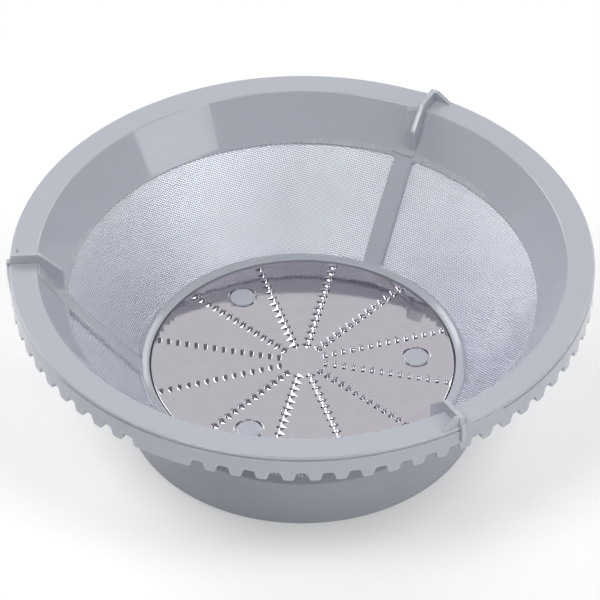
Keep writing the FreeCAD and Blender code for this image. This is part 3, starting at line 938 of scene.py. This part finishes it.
def makePlate():
    # Flat sheet with a hole in front of every tooth and a dish round each stud, cut from one outline
    size = discSizes
    points, edges, heights, holes = [], [], [], []

    def addLoop(loop, drop=0.0):
        first = len(points)
        points.extend(Vector(p) for p in loop)
        heights.extend([drop] * len(loop))
        edges.extend((first + i, first + (i + 1) % len(loop)) for i in range(len(loop)))

    addLoop(circlePoints(0, 0, size["radius"], 256), size["edgeDrop"])
    addLoop(circlePoints(0, 0, size["radius"] - size["edgeWidth"], 256))
    for radius, angle in toothPlaces():
        away = size["holeRadius"] * 0.9  # the hole lies mostly in front of its tooth
        x = radius * cos(angle) + away * sin(angle)
        y = radius * sin(angle) - away * cos(angle)
        addLoop(circlePoints(x, y, size["holeRadius"], 12))
        holes.append((x, y, size["holeRadius"] * 0.9))
    for i in range(frameSizes["studs"]):
        angle = 2 * pi * i / frameSizes["studs"]
        x = frameSizes["studCircle"] * cos(angle)
        y = frameSizes["studCircle"] * sin(angle)
        for wider, drop in size["dishSteps"]:
            addLoop(circlePoints(x, y, size["dishRadius"] + wider, 64), drop)
        addLoop(circlePoints(x, y, size["studHole"], 32), size["dishDepth"])
        holes.append((x, y, size["studHole"] * 0.95))
    cut = delaunay_2d_cdt(points, edges, [], 0, 1e-6)
    verts, faces, sources = cut[0], cut[2], cut[3]
    drops = [heights[source[0]] if source else 0.0 for source in sources]
    kept = []
    for face in faces:
        middle = sum((verts[i] for i in face), Vector((0, 0))) / len(face)
        if all(hypot(middle.x - x, middle.y - y) > radius for x, y, radius in holes):
            kept.append(face)
    bm = bmesh.new()
    top, low = [], []
    for vertex, drop in zip(verts, drops):
        top.append(bm.verts.new((vertex.x, vertex.y, size["top"] - drop)))
    for vertex, drop in zip(verts, drops):
        below = drop if hypot(vertex.x, vertex.y) < size["flatFrom"] else 0.0  # flat under the disc's edge
        low.append(bm.verts.new((vertex.x, vertex.y, size["top"] - size["thickness"] - below)))
    sides = {}
    for face in kept:
        bm.faces.new([top[i] for i in face])
        bm.faces.new([low[i] for i in reversed(face)])
        sides.update(dict.fromkeys(zip(face, face[1:] + face[:1])))
    for a, b in sides:
        if (b, a) not in sides:
            bm.faces.new([top[b], top[a], low[a], low[b]])
    bmesh.ops.delete(bm, geom=[v for v in bm.verts if not v.link_faces], context="VERTS")
    bmesh.ops.recalc_face_normals(bm, faces=bm.faces)
    return bm


def toothShape():
    # A pressed burr: flat on top, steep and round over its hole, running out to a point behind
    size = discSizes
    # Along the tooth, as shares of its length, height and width
    stations = (
        (-0.4, 0.15, 0.4), (-0.33, 0.62, 0.7), (-0.18, 0.94, 0.93),
        (0.0, 1.0, 1.0), (0.33, 0.67, 0.76), (0.68, 0.32, 0.4))
    section = ((-1.0, 0.0), (-0.88, 0.97), (0.0, 1.0), (0.88, 0.97), (1.0, 0.0))
    bm = bmesh.new()
    rows = []
    for along, tall, wide in stations:
        row = []
        for x, z in section:
            height = size["toothHeight"] * tall * z - size["toothSunk"]
            row.append(bm.verts.new((size["toothWidth"] / 2 * wide * x, size["toothLength"] * along, height)))
        rows.append(row)
    tail = bm.verts.new((0, size["toothLength"], -size["toothSunk"]))
    bridgeLoops(bm, rows + [[tail]], closedRound=False)
    bm.faces.new(rows[0])
    bm.faces.new([row[0] for row in rows] + [tail] + [row[-1] for row in rows[::-1]])
    bmesh.ops.recalc_face_normals(bm, faces=bm.faces)
    mesh = bpy.data.meshes.new("graterTooth")
    bm.to_mesh(mesh)
    bm.free()
    tooth = bpy.data.objects.new("graterTooth", mesh)
    scene.collection.objects.link(tooth)
    return tooth


def teethTree():
    # Teeth along a row, and the rows round the disc, all facing one way
    tree, given = newTree("graterTeeth", {
        "Float": ("First Radius", "Step", "Height"),
        "Int": ("Teeth", "Rows"),
        "Object": ("Tooth",),
        "Material": ("Material",)})
    start = addNode(tree, "ShaderNodeCombineXYZ", inputs={"X": given["First Radius"], "Z": given["Height"]})
    stride = addNode(tree, "ShaderNodeCombineXYZ", inputs={"X": given["Step"]})
    line = addNode(tree, "GeometryNodeMeshLine", {"mode": "OFFSET"}, {
        "Count": given["Teeth"], "Start Location": start, "Offset": stride})
    tooth = addNode(tree, "GeometryNodeObjectInfo", inputs={"Object": given["Tooth"]})
    row = addNode(tree, "GeometryNodeInstanceOnPoints", inputs={
        "Points": line, "Instance": tooth.outputs["Geometry"]})
    hubs = addNode(tree, "GeometryNodePoints", inputs={"Count": given["Rows"]})
    index = addNode(tree, "GeometryNodeInputIndex")
    share = addNode(tree, "ShaderNodeMath", {"operation": "ADD"}, {0: index, 1: 0.5})
    turn = addNode(tree, "ShaderNodeMath", {"operation": "DIVIDE"}, {0: 2 * pi, 1: given["Rows"]})
    angle = addNode(tree, "ShaderNodeMath", {"operation": "MULTIPLY"}, {0: share, 1: turn})
    spin = addNode(tree, "ShaderNodeCombineXYZ", inputs={"Z": angle})
    spread = addNode(tree, "GeometryNodeInstanceOnPoints", inputs={
        "Points": hubs, "Instance": row, "Rotation": spin})
    solid = addNode(tree, "GeometryNodeRealizeInstances", inputs={"Geometry": spread})
    painted = addNode(tree, "GeometryNodeSetMaterial", inputs={"Geometry": solid, "Material": given["Material"]})
    addNode(tree, "NodeGroupOutput", inputs={"Geometry": painted})
    return tree


def makeDisc():
    size = discSizes
    tooth = toothShape()
    teeth = grow("teeth", teethTree(), {
        "First Radius": size["firstRadius"],
        "Step": size["step"],
        "Height": size["top"],
        "Teeth": size["teethInRow"],
        "Rows": size["rows"],
        "Tooth": tooth,
        "Material": discSteel,
    })
    bm = makePlate()
    bm.from_mesh(teeth.data)
    bpy.data.objects.remove(teeth)
    bpy.data.objects.remove(tooth)
    return finishPiece(bm, "graterDisc", discSteel, 40)


graterDisc = makeDisc()
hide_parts("grater_disc")
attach(graterDisc, "root")
print("grater disc made")

# Floor and lights, in metres
stageSizes = {
    "floor": 6.0,
    "shadowReach": 0.06,
    "whiteReach": 0.16,
    # where the painted shadow lies on the floor, and where it fades out to the paper's own colour
    "shade": (0.0, 0.06, 0.0),
    "shadeInner": 0.05,
    "shadeOuter": 0.085,
    "aim": (0, 0, 0.03),
}

# Camera, in millimetres and degrees
cameraSizes = {
    "back": 841.5,
    "aboveRim": 724.4,
    "round": -2.3,
    "aside": 0.044,
    "pitch": 41.34,
    "roll": -0.229,
    "lens": 243.5,
}


def makeFloor():
    # Pale paper, seen as white away from the object by the camera and in reflections. A painted shadow, a grey
    # area behind the object, which hides it from the camera, shows dark through the mesh
    material, tree = newMaterial("paperPale")
    place = addNode(tree, "ShaderNodeTexCoord").outputs["Object"]
    behind = addNode(tree, "ShaderNodeVectorMath", {"operation": "DISTANCE"}, {0: place, 1: stageSizes["shade"]})
    shade = addNode(tree, "ShaderNodeMapRange", {"interpolation_type": "SMOOTHSTEP"}, {
        "Value": behind.outputs["Value"], "From Min": stageSizes["shadeInner"],
        "From Max": stageSizes["shadeOuter"], "To Min": 0.0, "To Max": 1.0})
    # painted shadow: the paper is coloured grey behind the object, and it does not turn white there
    tone = addNode(tree, "ShaderNodeMix", {"data_type": "RGBA"}, {
        "Factor": shade, 6: linearColour("#8C8C90"), 7: linearColour("#F4F4F4")})
    paper = addNode(tree, "ShaderNodeBsdfDiffuse", inputs={"Color": tone.outputs[2]})
    white = addNode(tree, "ShaderNodeEmission", inputs={"Color": linearColour("#FFFFFF"), "Strength": 1.0})
    away = addNode(tree, "ShaderNodeVectorMath", {"operation": "LENGTH"}, {0: place})
    share = addNode(tree, "ShaderNodeMapRange", {"interpolation_type": "SMOOTHSTEP"}, {
        "Value": away.outputs["Value"], "From Min": stageSizes["shadowReach"],
        "From Max": stageSizes["whiteReach"], "To Min": 0.25, "To Max": 0.97})
    path = addNode(tree, "ShaderNodeLightPath").outputs
    sharp = addNode(tree, "ShaderNodeMath", {"operation": "MAXIMUM"}, {
        0: path["Is Glossy Ray"], 1: path["Is Transmission Ray"]})
    seen = addNode(tree, "ShaderNodeMath", {"operation": "MAXIMUM"}, {0: path["Is Camera Ray"], 1: sharp})
    clear = addNode(tree, "ShaderNodeMath", {"operation": "MULTIPLY"}, {0: shade, 1: share})
    amount = addNode(tree, "ShaderNodeMath", {"operation": "MULTIPLY"}, {0: seen, 1: clear})
    mixed = addNode(tree, "ShaderNodeMixShader", inputs={0: amount, 1: paper, 2: white})
    addNode(tree, "ShaderNodeOutputMaterial", inputs={"Surface": mixed})
    half = stageSizes["floor"] / 2
    corners = [(-half, -half, 0), (half, -half, 0), (half, half, 0), (-half, half, 0)]
    mesh = bpy.data.meshes.new("studioFloor")
    mesh.from_pydata(corners, [], [(0, 1, 2, 3)])
    mesh.materials.append(material)
    floor = bpy.data.objects.new("studioFloor", mesh)
    scene.collection.objects.link(floor)


def makeLight(name, place, size, power, target=stageSizes["aim"]):
    lamp = bpy.data.lights.new(name, "AREA")
    lamp.shape = "RECTANGLE"
    lamp.size, lamp.size_y = size
    lamp.energy = power
    light = bpy.data.objects.new(name, lamp)
    light.location = place
    light.rotation_euler = (Vector(target) - Vector(place)).to_track_quat("-Z", "Y").to_euler()
    scene.collection.objects.link(light)


def makeWorld():
    # A studio that is pale behind the object and dim overhead and on the camera's side
    world = bpy.data.worlds.new("studioWorld")
    world.use_nodes = True
    tree = world.node_tree
    tree.nodes.clear()
    towards = addNode(tree, "ShaderNodeTexCoord").outputs["Generated"]
    back = addNode(tree, "ShaderNodeSeparateXYZ", inputs={"Vector": towards}).outputs["Y"]
    level = addNode(tree, "ShaderNodeMapRange", {"interpolation_type": "SMOOTHSTEP"}, {
        "Value": back, "From Min": 0.46, "From Max": 0.7, "To Min": 0.19, "To Max": 0.72})
    sky = addNode(tree, "ShaderNodeBackground", inputs={"Color": linearColour("#FFFFFF"), "Strength": level})
    addNode(tree, "ShaderNodeOutputWorld", inputs={"Surface": sky})
    scene.world = world


def makeCamera():
    # Place, pitch and roll are those that bring the rim, disc and collar on to the photograph's
    size = cameraSizes
    pitch = radians(size["pitch"])
    roll = radians(size["roll"])
    right = Vector((1, 0, 0))
    ahead = Vector((0, cos(pitch), -sin(pitch)))
    up = Vector((0, sin(pitch), cos(pitch)))
    across = right * cos(roll) + up * sin(roll)
    upright = up * cos(roll) - right * sin(roll)
    turn = Matrix.Rotation(radians(size["round"] + size["aside"]), 3, "Z")
    rotation = turn @ Matrix((across, upright, -ahead)).transposed()
    height = size["aboveRim"] + frameSizes["rimHeight"]
    place = Matrix.Rotation(radians(size["round"]), 3, "Z") @ Vector((0, -size["back"], height)) * mm
    data = bpy.data.cameras.new("photoCamera")
    data.lens = size["lens"]
    data.sensor_width = 36.0
    data.clip_start = 0.05
    data.clip_end = 20.0
    camera = bpy.data.objects.new("photoCamera", data)
    camera.matrix_world = Matrix.Translation(place) @ rotation.to_4x4()
    scene.collection.objects.link(camera)
    scene.camera = camera


makeFloor()
makeWorld()
makeLight("backLeftSoftbox", place=(-0.85, 0.8, 0.85), size=(0.75, 0.75), power=9.0)
makeLight("backRightSoftbox", place=(0.72, 0.93, 0.85), size=(0.6, 0.6), power=3.8)
makeLight("frontLeftSoftbox", place=(-0.65, -0.6, 1.35), size=(0.6, 0.6), power=9.6)
makeLight("frontRightSoftbox", place=(0.65, -0.6, 1.35), size=(0.5, 0.5), power=7.2)
makeLight("lowCard", place=(1.05, -0.75, 0.5), size=(0.75, 0.5), power=4.2, target=(0, 0, 0.05))
makeCamera()
scene.view_settings.view_transform = "Standard"
print("stage made")
